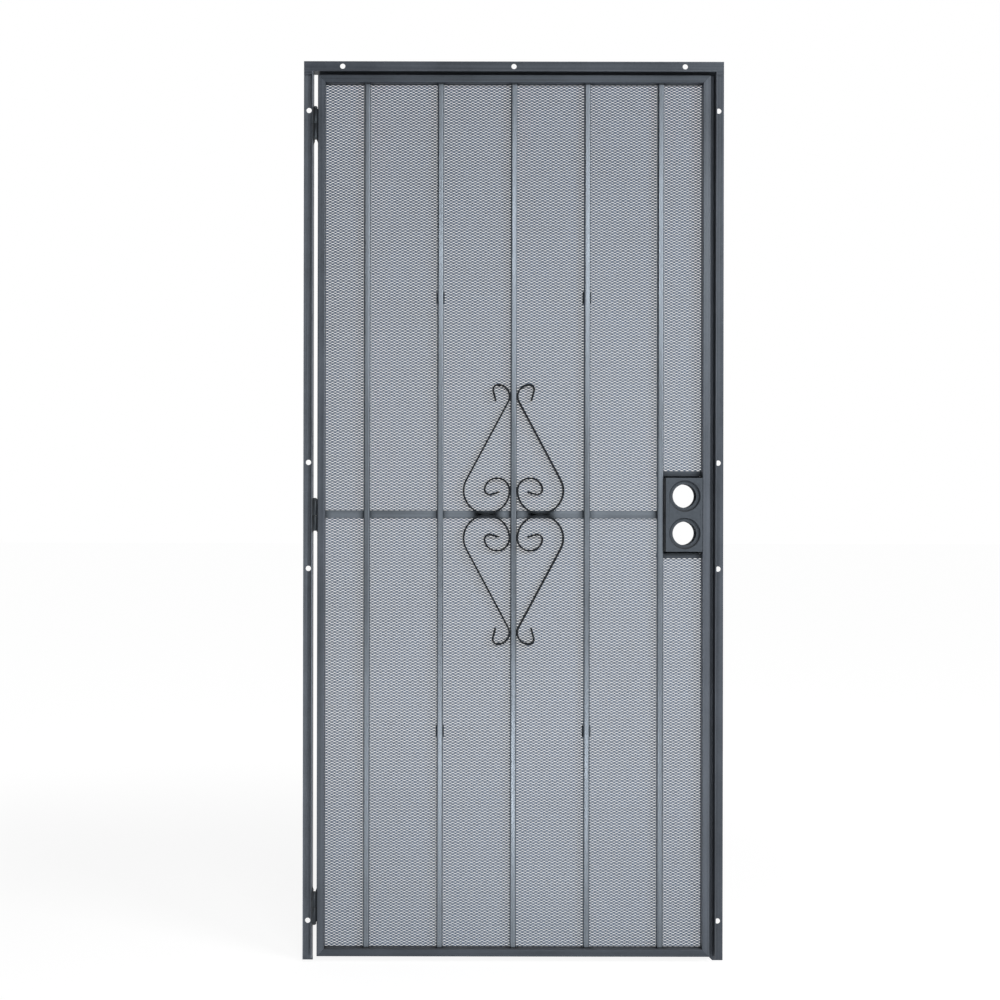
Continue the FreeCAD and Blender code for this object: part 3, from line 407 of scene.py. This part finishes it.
def paint(name, colour, roughness, gloss=0.5, metal=0.0, mottle=0.5, edge=0.4, dust=0.2, crevice_shade=1.2,
          peel_scale=PEEL_SCALE, streaks=ROLLED_EVENLY):
    """A satin powder coat of one colour, over rolling lines drawn along the piece."""
    material = bpy.data.materials.new(name)
    material.use_nodes = True
    tree = material.node_tree
    shader = tree.nodes["Principled BSDF"]
    coat = tree.nodes.new("ShaderNodeGroup")
    coat.node_tree = powder_coat_group()
    for socket, amount in (("Colour", (*colour, 1)), ("Roughness", roughness), ("Mottle", mottle),
                           ("Edge", edge), ("Dust", dust), ("Grime", crevice_shade), ("Peel scale", peel_scale),
                           ("Streaks", streaks)):
        coat.inputs[socket].default_value = amount
    bump = tree.nodes.new("ShaderNodeBump")
    bump.inputs["Strength"].default_value = PEEL_STRENGTH
    bump.inputs["Distance"].default_value = PEEL_DEPTH
    shader.inputs["Metallic"].default_value = metal
    shader.inputs["Specular IOR Level"].default_value = gloss
    shader.inputs["Specular Tint"].default_value = REFLECTION_TINT
    feed(tree, bump.inputs["Height"], coat.outputs["Height"])
    feed(tree, shader.inputs["Base Color"], coat.outputs["Colour"])
    feed(tree, shader.inputs["Roughness"], coat.outputs["Roughness"])
    feed(tree, shader.inputs["Normal"], bump.outputs["Normal"])
    return material


# Points of a CAD mesh this close are one corner, and edges this sharp are rounded
SHARED_CORNER = 0.01 * MM
SHARP_EDGE = math.radians(40)


def cover(names, material, edge, segments=2):
    """Paint CAD pieces and round their sharp edges without touching their meshes."""
    for name in names:
        piece = NODES[name]
        piece.data.materials.clear()
        piece.data.materials.append(material)
        piece.modifiers.new("Shared corners", "WELD").merge_threshold = SHARED_CORNER
        bevel = piece.modifiers.new("Soft edges", "BEVEL")
        bevel.width = edge
        bevel.segments = segments
        bevel.limit_method = "ANGLE"
        bevel.angle_limit = SHARP_EDGE
        bevel.harden_normals = True


def joined(blocks):
    """One list of points and one of faces from several."""
    vertices, faces = [], []
    for points, corners in blocks:
        base = len(vertices)
        vertices.extend(points)
        faces.extend([index + base for index in face] for face in corners)
    return vertices, faces


def mesh_piece(name, blocks, material, body, smooth=False):
    """A mesh object that rides on a body."""
    mesh = bpy.data.meshes.new(name)
    vertices, faces = joined(blocks)
    mesh.from_pydata(vertices, [], faces)
    mesh.polygons.foreach_set("use_smooth", [smooth] * len(mesh.polygons))
    mesh.update()
    mesh.materials.append(material)
    piece = bpy.data.objects.new(name, mesh)
    bpy.context.scene.collection.objects.link(piece)
    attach(piece, body)
    return piece


def middle(name):
    """The middle of a CAD piece's box along X, Y and Z."""
    low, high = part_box(name)
    return [(start + end) / 2 for start, end in zip(low, high)]


class DOOR_OT_paint_frame(bpy.types.Operator):
    """Paint the header and the jambs"""

    bl_idname = "door.paint_frame"
    bl_label = "Paint Frame"

    def execute(self, context):
        look = context.scene.door_paint
        for name, colour, streaks in (("header", look.frame_colour, ROLLED_LEVEL),
                                      # The hinge jamb gets its lightened coat, painted light that offsets
                                      # its stem's shadow
                                      ("hinge_jamb", look.lightened_jamb_colour, ROLLED_UPRIGHT),
                                      ("latch_jamb", look.frame_colour, ROLLED_UPRIGHT)):
            # Strong Edge here: lighter edges, partly wear and partly painted highlight; a low share of
            # painted crevice shade keeps the flanges beside the stems light
            coat = paint(f"{name}_coat", colour, look.satin_roughness, gloss=0.3, mottle=0.9, edge=2.0,
                         crevice_shade=0.4, streaks=streaks)
            cover([name], coat, context.scene.door_edge.frame_edge)
        return {"FINISHED"}


class DOOR_OT_paint_hinges(bpy.types.Operator):
    """Paint the hinges"""

    bl_idname = "door.paint_hinges"
    bl_label = "Paint Hinges"

    def execute(self, context):
        look = context.scene.door_paint
        coat = paint("hinge_coat", look.hinge_colour, look.roughness)
        pieces = [f"{hinge}_{piece}" for hinge in HINGES for piece in ("frame_half", "leaf_half", "pin")]
        cover(pieces, coat, context.scene.door_edge.hinge_edge)
        return {"FINISHED"}


class DOOR_OT_paint_leaf(bpy.types.Operator):
    """Paint the stiles, the rails and the flats of the leaf"""

    bl_idname = "door.paint_leaf"
    bl_label = "Paint Leaf"

    def execute(self, context):
        look = context.scene.door_paint
        edge = context.scene.door_edge.tube_edge
        # Strong Edge on the stiles and rails: lighter edges, partly wear and partly painted highlight
        stiles = paint("stile_coat", look.stile_colour, look.satin_roughness, gloss=0.62, mottle=0.9,
                       edge=4.0, streaks=ROLLED_UPRIGHT)
        cover(["hinge_stile", "latch_stile"], stiles, edge, segments=3)
        rails = paint("rail_coat", look.rail_colour, look.satin_roughness, gloss=0.5, mottle=0.9,
                      edge=5.0, streaks=ROLLED_LEVEL)
        cover(["top_rail", "bottom_rail", "lock_flat_upper", "lock_flat_lower"], rails, edge, segments=3)
        return {"FINISHED"}


class DOOR_OT_paint_bars(bpy.types.Operator):
    """Paint the upright bars and the crossbar"""

    bl_idname = "door.paint_bars"
    bl_label = "Paint Bars"

    def execute(self, context):
        look = context.scene.door_paint
        edge = context.scene.door_edge
        bars = paint("bar_coat", look.bar_colour, look.satin_roughness, metal=look.bar_metal,
                     streaks=ROLLED_UPRIGHT)
        cover(BARS, bars, edge.bar_edge, segments=5)
        crossbar = paint("crossbar_coat", look.bar_colour, look.satin_roughness, metal=look.bar_metal,
                         streaks=ROLLED_LEVEL)
        cover(["crossbar"], crossbar, edge.frame_edge)
        return {"FINISHED"}


class DOOR_OT_paint_scrolls(bpy.types.Operator):
    """Paint the four scrolls"""

    bl_idname = "door.paint_scrolls"
    bl_label = "Paint Scrolls"

    def execute(self, context):
        look = context.scene.door_paint
        # The scrolls get the near-black coat of painted shade
        coat = paint("scroll_coat", look.shaded_scroll_colour, look.roughness, gloss=0.2)
        cover(SCROLLS, coat, context.scene.door_edge.scroll_edge, segments=3)
        return {"FINISHED"}


class DOOR_OT_paint_lock_box(bpy.types.Operator):
    """Paint the lock box and the screen clips"""

    bl_idname = "door.paint_lock_box"
    bl_label = "Paint Lock Box"

    def execute(self, context):
        look = context.scene.door_paint
        edge = context.scene.door_edge
        lock_coat = paint("lock_coat", look.lock_colour, look.roughness)
        cover(["lock_box_front", "lock_box_back"], lock_coat, edge.lock_edge)
        clip_coat = paint("clip_coat", look.hinge_colour, look.roughness)
        cover([name for name in NODES if name.startswith("clip_")], clip_coat, edge.clip_edge)
        return {"FINISHED"}


# Shortest stretch of a strand between a bend and the end of its bay
SHORTEST_STRETCH = 0.1 * MM


def strand_rows(left, right, low, high, depth, look):
    """Closed zigzag strands that fill a rectangle, one block of points and faces for each.

    A strand runs across the rectangle in even zigzags. The one above it is its mirror image, and the
    two are joined wherever their points meet. Each has a tilted rectangular section.
    """
    wide, thick, tilt = look.strand_width, look.strand_thickness, look.strand_tilt
    corner = np.array([(-wide, -thick), (wide, -thick), (wide, thick), (-wide, thick)]) / 2
    sides = len(corner)
    up = corner[:, 0] * math.cos(tilt) - corner[:, 1] * math.sin(tilt)
    deep = corner[:, 0] * math.sin(tilt) + corner[:, 1] * math.cos(tilt)
    count = round((high - low) / (look.diamond_height / 2))
    pitch = (high - low) / count
    swing = pitch - (up.max() - up.min()) + look.bond_overlap

    half = look.diamond_width / 2
    bends = [step * half for step in range(math.floor(left / half), math.ceil(right / half) + 1)]
    inner = [x for x in bends if left + SHORTEST_STRETCH < x < right - SHORTEST_STRETCH]
    across = np.array([left, *inner, right])
    zigzag = np.abs((across / half) % 2 - 1)

    last = sides * (len(across) - 1)
    start = np.arange(0, last, sides)[:, None]
    side = np.arange(sides)[None, :]
    turn = (side + 1) % sides
    quads = np.stack([start + side, start + sides + side, start + sides + turn, start + turn], axis=-1)
    ends = [list(range(sides)), list(range(last, last + sides))[::-1]]
    faces = quads.reshape(-1, 4).tolist() + ends

    rows = []
    for row in range(count):
        rise = zigzag if row % 2 else 1 - zigzag
        line = low + (row + 0.5) * pitch + (rise - 0.5) * swing
        ring = np.empty((len(across), sides, 3))
        ring[:, :, 0] = across[:, None]
        ring[:, :, 1] = depth + deep[None, :]
        ring[:, :, 2] = line[:, None] + up[None, :]
        rows.append((ring.reshape(-1, 3).tolist(), faces))
    return rows


class DOOR_OT_make_screen(bpy.types.Operator):
    """Make the expanded metal, one piece for each bay between the bars"""

    bl_idname = "door.make_screen"
    bl_label = "Make Screen"

    def execute(self, context):
        look = context.scene.door_screen
        colours = context.scene.door_paint
        coat = paint("screen_coat", colours.screen_colour, colours.screen_roughness, edge=0.0, dust=0.1,
                     crevice_shade=0.0, peel_scale=SCREEN_PEEL_SCALE)
        low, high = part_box("screen")
        _, depth, _ = middle("screen")
        edges = [low.x, *(middle(bar)[0] for bar in BARS), high.x]
        lock_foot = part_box("lock_flat_lower")[1].z
        lock_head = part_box("lock_flat_upper")[0].z
        for bay, (left, right) in enumerate(zip(edges, edges[1:]), start=1):
            spans = [(low.z, high.z)]
            if right == high.x:
                spans = [(low.z, lock_foot), (lock_head, high.z)]
            rows = []
            for foot, head in spans:
                rows.extend(strand_rows(left, right, foot, head, depth, look))
            piece = mesh_piece(f"screen_bay_{bay}", rows, coat, "leaf")
            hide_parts("screen")
        return {"FINISHED"}


# Weld beads: sides of the section, rings, depth of the ripples and roundness of the ends
BEAD_SIDES = 8
RINGS_IN_RIPPLE = 6
FEWEST_RINGS = 5
RIPPLE_DEPTH = 0.16
TAPER_POWER = 12
BLUNT_END = 0.02


def bead(start, end, look, radius=None):
    """A rippled weld bead along a corner, as points and faces."""
    start, end = Vector(start), Vector(end)
    radius = radius or look.bead_radius
    along = end - start
    side = along.orthogonal().normalized()
    other = along.normalized().cross(side)
    rings = max(FEWEST_RINGS, round(RINGS_IN_RIPPLE * along.length / look.ripple) + 1)
    points = []
    for ring in range(rings):
        share = ring / (rings - 1)
        wave = abs(math.cos(math.pi * share * along.length / look.ripple))
        taper = math.sqrt(max(BLUNT_END, 1 - abs(2 * share - 1) ** TAPER_POWER))
        reach = radius * (1 - RIPPLE_DEPTH + RIPPLE_DEPTH * wave) * taper
        for step in range(BEAD_SIDES):
            angle = math.tau * step / BEAD_SIDES
            points.append(start + along * share + side * reach * math.cos(angle)
                          + other * reach * math.sin(angle))
    last = BEAD_SIDES * (rings - 1)
    faces = []
    for base in range(0, last, BEAD_SIDES):
        for step in range(BEAD_SIDES):
            turn = (step + 1) % BEAD_SIDES
            faces.append([base + step, base + turn, base + BEAD_SIDES + turn, base + BEAD_SIDES + step])
    faces += [list(range(BEAD_SIDES))[::-1], list(range(last, last + BEAD_SIDES))]
    return points, faces


def upright_bead(x, y, start, end, look, radius=None):
    """A weld bead up or down an upright corner, between two heights."""
    return bead((x, y, start), (x, y, end), look, radius)


class DOOR_OT_weld_bars(bpy.types.Operator):
    """Weld the bars to the rails and the crossbar, and the flats to the stiles"""

    bl_idname = "door.weld_bars"
    bl_label = "Weld Bars"

    def execute(self, context):
        look = context.scene.door_weld
        colours = context.scene.door_paint
        coat = paint("bar_weld_coat", colours.rail_colour, colours.weld_roughness, edge=0.0)
        flat_low, flat_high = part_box("crossbar")
        front, foot, head = flat_low.y, flat_low.z, flat_high.z
        beads = []
        for name in BARS:
            low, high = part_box(name)
            for z in (low.z, high.z):
                beads.append(bead((low.x, low.y, z), (high.x, low.y, z), look))
                beads.extend(bead((x, low.y, z), (x, high.y, z), look) for x in (low.x, high.x))
            beads.extend(upright_bead(x, front, foot, head, look) for x in (low.x, high.x))
        beads.append(upright_bead(flat_low.x, front, foot, head, look))
        upper_low, upper_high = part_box("lock_flat_upper")
        lower_low, lower_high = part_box("lock_flat_lower")
        beads.append(upright_bead(upper_high.x, front, upper_low.z, upper_high.z, look))
        beads.append(upright_bead(lower_high.x, front, lower_low.z, lower_high.z, look))
        box_low, box_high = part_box("lock_box_front")
        for start, end in ((box_high.z, upper_low.z), (box_low.z, lower_high.z)):
            beads.append(upright_bead(box_high.x, front, start, end, look, look.tack_radius))
        mesh_piece("bar_welds", beads, coat, "leaf", smooth=True)
        return {"FINISHED"}


class DOOR_OT_weld_scrolls(bpy.types.Operator):
    """Weld the scrolls to the middle bar where their loops and hooks meet it"""

    bl_idname = "door.weld_scrolls"
    bl_label = "Weld Scrolls"

    def execute(self, context):
        look = context.scene.door_weld
        colours = context.scene.door_paint
        # The scroll welds share the scrolls' near-black coat of painted shade
        coat = paint("scroll_weld_coat", colours.shaded_scroll_colour, colours.weld_roughness, edge=0.0)
        low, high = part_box(MIDDLE_BAR)
        front = low.y + look.bead_radius
        _, _, crossbar = middle("crossbar")
        beads = []
        for rise in (look.loop_rise, look.hook_rise):
            for contact in (crossbar + rise, crossbar - rise):
                for z in (contact - look.crevice, contact + look.crevice):
                    beads.extend(bead((x, front, z), (x, high.y, z), look) for x in (low.x, high.x))
        mesh_piece("scroll_welds", beads, coat, "leaf", smooth=True)
        return {"FINISHED"}


class DOOR_OT_weld_frame(bpy.types.Operator):
    """Weld the header to the jambs, and the hinge plates to the jamb and the stile"""

    bl_idname = "door.weld_frame"
    bl_label = "Weld Frame"

    def execute(self, context):
        look = context.scene.door_weld
        colours = context.scene.door_paint
        coat = paint("frame_weld_coat", colours.frame_colour, colours.weld_roughness, edge=0.0)
        frame_beads, leaf_beads = [], []
        hinge_low, hinge_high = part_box("hinge_jamb")
        _, latch_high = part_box("latch_jamb")
        for outer, inner, z in ((hinge_low.x, hinge_low.x + look.seam, hinge_high.z),
                                (latch_high.x, latch_high.x - look.seam, latch_high.z)):
            frame_beads.append(bead((outer, -look.sheet, z), (inner, -look.sheet, z), look))
        for hinge in HINGES:
            low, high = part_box(f"{hinge}_frame_half")
            frame_beads.append(upright_bead(low.x, high.y, low.z, high.z, look))
            low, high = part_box(f"{hinge}_leaf_half")
            leaf_beads.append(upright_bead(high.x, high.y, low.z, high.z, look))
        mesh_piece("frame_welds", frame_beads, coat, "frame", smooth=True)
        mesh_piece("hinge_welds", leaf_beads, coat, "leaf", smooth=True)
        return {"FINISHED"}


# Soft lights: place and size in metres, and whether reflections show them
LIGHTS = {
    "upper": ((0.85, -3.35, 2.26), (1.20, 0.45), True),
    "lower": ((0.55, -1.70, 0.12), (0.69, 0.18), True),
    "side": ((3.00, -2.40, 2.20), (1.50, 1.50), True),
    "fill": ((-2.20, -2.40, 1.20), (2.00, 2.00), False),
}

# Floor: half its width, how far it lies below the door, and its coat
FLOOR_REACH = 40.0
FLOOR_DROP = 0.5 * MM
FLOOR_COLOUR = (0.3, 0.3, 0.3, 1)
FLOOR_ROUGHNESS = 0.9

WHITE = (1, 1, 1, 1)
SENSOR_WIDTH = 36


def seen_directly(tree, mirrored=1.0):
    """One where the camera or a reflection looks, nought for light that falls on the door."""
    path = tree.nodes.new("ShaderNodeLightPath").outputs
    glossy = math_node(tree, "MULTIPLY", path["Is Glossy Ray"], mirrored)
    seen = math_node(tree, "MAXIMUM", path["Is Camera Ray"], glossy)
    return math_node(tree, "MAXIMUM", seen, path["Is Transmission Ray"])


def floor_coat(look):
    """A dull grey that takes shadows, with a glow where it is seen that makes it white."""
    material = bpy.data.materials.new("floor_white")
    material.use_nodes = True
    tree = material.node_tree
    shader = tree.nodes["Principled BSDF"]
    shader.inputs["Base Color"].default_value = FLOOR_COLOUR
    shader.inputs["Roughness"].default_value = FLOOR_ROUGHNESS
    shader.inputs["Specular IOR Level"].default_value = 0.0
    shader.inputs["Emission Color"].default_value = WHITE
    place = tree.nodes.new("ShaderNodeTexCoord").outputs["Object"]
    fade = tree.nodes.new("ShaderNodeMapRange")
    fade.interpolation_type = "SMOOTHSTEP"
    fade.inputs["From Min"].default_value = look.floor_near
    fade.inputs["From Max"].default_value = look.floor_far
    fade.inputs["To Min"].default_value = look.floor_glow
    fade.inputs["To Max"].default_value = look.far_glow
    feed(tree, fade.inputs["Value"], vector_node(tree, "LENGTH", place)["Value"])
    white = math_node(tree, "MULTIPLY", seen_directly(tree), fade.outputs["Result"])
    feed(tree, shader.inputs["Emission Strength"], white)
    return material


def make_floor(look):
    """A pale floor that the camera sees as white, with the door's soft shadow on it."""
    mesh = bpy.data.meshes.new("floor")
    corners = [(x * FLOOR_REACH, y * FLOOR_REACH, 0) for x, y in ((-1, -1), (1, -1), (1, 1), (-1, 1))]
    mesh.from_pydata(corners, [], [(0, 1, 2, 3)])
    mesh.materials.append(floor_coat(look))
    floor = bpy.data.objects.new("floor", mesh)
    floor.location.z = -FLOOR_DROP
    bpy.context.scene.collection.objects.link(floor)


def make_studio(look):
    """A dim studio with a white backdrop behind the door, which reflections show there."""
    world = bpy.data.worlds.new("studio")
    world.use_nodes = True
    bpy.context.scene.world = world
    tree = world.node_tree
    background = tree.nodes["Background"]
    background.inputs["Color"].default_value = WHITE
    way = tree.nodes.new("ShaderNodeSeparateXYZ")
    feed(tree, way.inputs[0], tree.nodes.new("ShaderNodeTexCoord").outputs["Generated"])
    behind = math_node(tree, "MAXIMUM", way.outputs["Y"], 0.0)
    light = math_node(tree, "MULTIPLY_ADD", behind, look.backdrop, look.sky)
    shown = seen_directly(tree, behind)
    rest = math_node(tree, "SUBTRACT", 1.0, light)
    feed(tree, background.inputs["Strength"], math_node(tree, "MULTIPLY_ADD", shown, rest, light))


def make_lamp(name, place, size, power, mirrored):
    """A soft light aimed at the middle of the door, which shows in its reflections or doesn't."""
    lamp = bpy.data.lights.new(name, "AREA")
    lamp.shape = "RECTANGLE"
    lamp.size, lamp.size_y = size
    lamp.energy = power
    holder = bpy.data.objects.new(name, lamp)
    holder.visible_camera = False
    holder.visible_glossy = mirrored
    holder.location = place
    low, high = CAD_BOX
    aim = (Vector(low) + Vector(high)) / 2 - holder.location
    holder.rotation_euler = aim.to_track_quat("-Z", "Y").to_euler()
    bpy.context.scene.collection.objects.link(holder)


def make_camera(look):
    """A camera square to the wall, with its lens shifted to frame the door."""
    lens = bpy.data.cameras.new("camera")
    lens.sensor_width = SENSOR_WIDTH
    lens.lens = SENSOR_WIDTH * look.distance / look.picture_width
    lens.shift_x, lens.shift_y = look.shift
    camera = bpy.data.objects.new("camera", lens)
    camera.location = (look.camera_across, -look.distance, look.camera_height)
    camera.rotation_euler = (math.pi / 2, look.camera_roll, 0)
    bpy.context.scene.collection.objects.link(camera)
    bpy.context.scene.camera = camera


class DOOR_OT_set_stage(bpy.types.Operator):
    """Set the floor, the lights and the camera"""

    bl_idname = "door.set_stage"
    bl_label = "Set Stage"

    def execute(self, context):
        look = context.scene.door_stage
        context.scene.view_settings.view_transform = "Standard"
        make_floor(look)
        make_studio(look)
        for name, (place, size, mirrored) in LIGHTS.items():
            make_lamp(f"{name}_light", place, size, getattr(look, f"{name}_power"), mirrored)
        make_camera(look)
        return {"FINISHED"}


SETTINGS = {
    "door_paint": PaintSettings,
    "door_edge": EdgeSettings,
    "door_screen": ScreenSettings,
    "door_weld": WeldSettings,
    "door_stage": StageSettings,
}

OPERATORS = (
    DOOR_OT_paint_frame,
    DOOR_OT_paint_hinges,
    DOOR_OT_paint_leaf,
    DOOR_OT_paint_bars,
    DOOR_OT_paint_scrolls,
    DOOR_OT_paint_lock_box,
    DOOR_OT_make_screen,
    DOOR_OT_weld_bars,
    DOOR_OT_weld_scrolls,
    DOOR_OT_weld_frame,
    DOOR_OT_set_stage,
)


class DOOR_PT_looks(bpy.types.Panel):
    """The door's settings and the steps that make its looks"""

    bl_idname = "DOOR_PT_looks"
    bl_label = "Security Screen Door"
    bl_space_type = "VIEW_3D"
    bl_region_type = "UI"
    bl_category = "Door"

    def draw(self, context):
        for name in SETTINGS:
            group = getattr(context.scene, name)
            for field in group.bl_rna.properties:
                if not field.is_readonly and field.identifier != "name":
                    self.layout.prop(group, field.identifier)
        for operator in OPERATORS:
            self.layout.operator(operator.bl_idname)


CLASSES = (*SETTINGS.values(), *OPERATORS, DOOR_PT_looks)


def register():
    """Make the classes known to Blender and give the scene its settings."""
    for item in CLASSES:
        bpy.utils.register_class(item)
    for name, group in SETTINGS.items():
        setattr(bpy.types.Scene, name, bpy.props.PointerProperty(type=group))


def unregister():
    """Take the settings and the classes away again."""
    for name in SETTINGS:
        delattr(bpy.types.Scene, name)
    for item in reversed(CLASSES):
        bpy.utils.unregister_class(item)


def main():
    """Run every step in order."""
    register()
    for operator in OPERATORS:
        group, step = operator.bl_idname.split(".")
        getattr(getattr(bpy.ops, group), step)()


if __name__ == "__main__":
    main()
